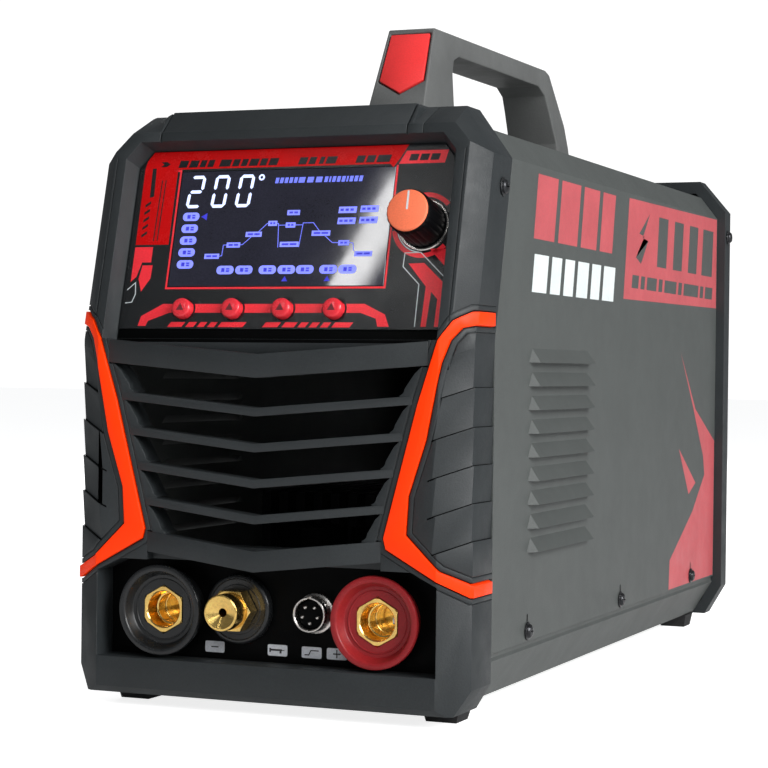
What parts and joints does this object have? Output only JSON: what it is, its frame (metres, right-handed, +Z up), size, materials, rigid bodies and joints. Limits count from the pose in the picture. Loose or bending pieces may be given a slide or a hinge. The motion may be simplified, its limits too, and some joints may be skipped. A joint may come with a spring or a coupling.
{
  "type": "tig welding machine",
  "caption": "Portable inverter TIG welder: folded steel case, moulded bezels, tilted control panel, weld sockets, carrying handle and rear fan.",
  "frame": {"origin": "on the surface the feet stand on, under the centre of the whole bounding box", "axes": "+Z up; the control panel and sockets face -Y; +X is on the right in a front view of the control panel"},
  "size_m": [0.2052, 0.4882, 0.3292],
  "materials": {
    "charcoal_plastic": "fine moulded texture, charcoal",
    "black_plastic": "fine moulded texture, near black",
    "orange_plastic": "semi-gloss orange red",
    "powder_coat": "fine-textured dark grey powder coat",
    "overlay_print": "printed polycarbonate, black with red graphics",
    "lcd_glass": "dark display behind a clear window",
    "circuit_board": "green solder mask",
    "zinc": "bright zinc plate",
    "knob_black": "fluted black",
    "knob_orange": "orange insert with a white pointer",
    "button_red": "glossy red with a dark triangle",
    "socket_black": "smooth black nylon",
    "socket_red": "smooth dark red nylon",
    "brass": "machined brass",
    "nickel": "nickel plate",
    "handle_grey": "fine moulded texture, grey",
    "insert_red": "satin red",
    "rubber_black": "moulded rubber",
    "black_steel": "black oxide screw",
    "aluminium": "extruded",
    "copper_winding": "enamelled copper over a ferrite core",
    "rocker_red": "glossy red"
  },
  "bodies": {
    "machine": {"base_tray": "powder_coat", "capacitor_1": "black_plastic", "capacitor_2": "black_plastic", "control_board": "circuit_board", "control_connector_insert": "black_plastic", "control_connector_shell": "nickel", "control_overlay": "overlay_print", "cord_gland": "black_plastic", "cover": "powder_coat", "encoder_body": "zinc", "fan_frame": "black_plastic", "fan_guard": "zinc", "foot_front_left": "rubber_black", "foot_front_right": "rubber_black", "foot_rear_left": "rubber_black", "foot_rear_right": "rubber_black", "front_bezel": "charcoal_plastic", "front_grille": "charcoal_plastic", "gas_inlet": "brass", "gas_valve": "zinc", "handle": "handle_grey", "handle_insert": "insert_red", "heatsink": "aluminium", "hf_coil": "copper_winding", "lcd_module": "lcd_glass", "main_board": "circuit_board", "main_transformer": "copper_winding", "negative_socket_contact": "brass", "negative_socket_flange": "socket_black", "output_choke": "copper_winding", "positive_socket_contact": "brass", "positive_socket_flange": "socket_red", "power_switch_frame": "black_plastic", "rear_bezel": "charcoal_plastic", "rear_panel": "powder_coat", "screw_aft_left": "black_steel", "screw_aft_right": "black_steel", "screw_fore_left": "black_steel", "screw_fore_right": "black_steel", "screw_front_left": "black_steel", "screw_front_right": "black_steel", "screw_mid_left": "black_steel", "screw_mid_right": "black_steel", "screw_rear_left": "black_steel", "screw_rear_right": "black_steel", "socket_panel": "black_plastic", "torch_connector_fitting": "brass", "torch_connector_flange": "socket_black", "trim_left": "orange_plastic", "trim_right": "orange_plastic"},
    "encoder_ring": {"encoder_rotor": "zinc"},
    "knob": {"encoder_shaft": "zinc", "control_knob": "knob_black", "knob_cap": "knob_orange"},
    "rocker": {"power_rocker": "rocker_red"},
    "fan_wheel": {"fan_rotor": "black_plastic"},
    "key_1": {"button_1": "button_red"},
    "key_2": {"button_2": "button_red"},
    "key_3": {"button_3": "button_red"},
    "key_4": {"button_4": "button_red"}
  },
  "joints": [
    {"name": "encoder_turn", "type": "hinge", "parent": "machine", "child": "encoder_ring", "pos_m": [0.066, -0.21405, 0.21569], "axis": [0, -0.9701, 0.2425], "continuous": true},
    {"name": "knob_press", "type": "slide", "parent": "encoder_ring", "child": "knob", "axis": [0, 0.9701, -0.2425], "range_m": [0, 0.0005], "stiffness_N_per_m": 3000, "springref_m": -0.0003},
    {"name": "button_1_press", "type": "slide", "parent": "machine", "child": "key_1", "axis": [0, 0.9701, -0.2425], "range_m": [0, 0.001], "stiffness_N_per_m": 1200, "springref_m": -0.0004},
    {"name": "button_2_press", "type": "slide", "parent": "machine", "child": "key_2", "axis": [0, 0.9701, -0.2425], "range_m": [0, 0.001], "stiffness_N_per_m": 1200, "springref_m": -0.0004},
    {"name": "button_3_press", "type": "slide", "parent": "machine", "child": "key_3", "axis": [0, 0.9701, -0.2425], "range_m": [0, 0.001], "stiffness_N_per_m": 1200, "springref_m": -0.0004},
    {"name": "button_4_press", "type": "slide", "parent": "machine", "child": "key_4", "axis": [0, 0.9701, -0.2425], "range_m": [0, 0.001], "stiffness_N_per_m": 1200, "springref_m": -0.0004},
    {"name": "power_rock", "type": "hinge", "parent": "machine", "child": "rocker", "pos_m": [0.052, 0.2062, 0.213], "axis": [1, 0, 0], "range_deg": [0, 20]},
    {"name": "fan_spin", "type": "hinge", "parent": "machine", "child": "fan_wheel", "pos_m": [0, 0.19, 0.098], "axis": [0, 1, 0], "continuous": true}
  ]
}
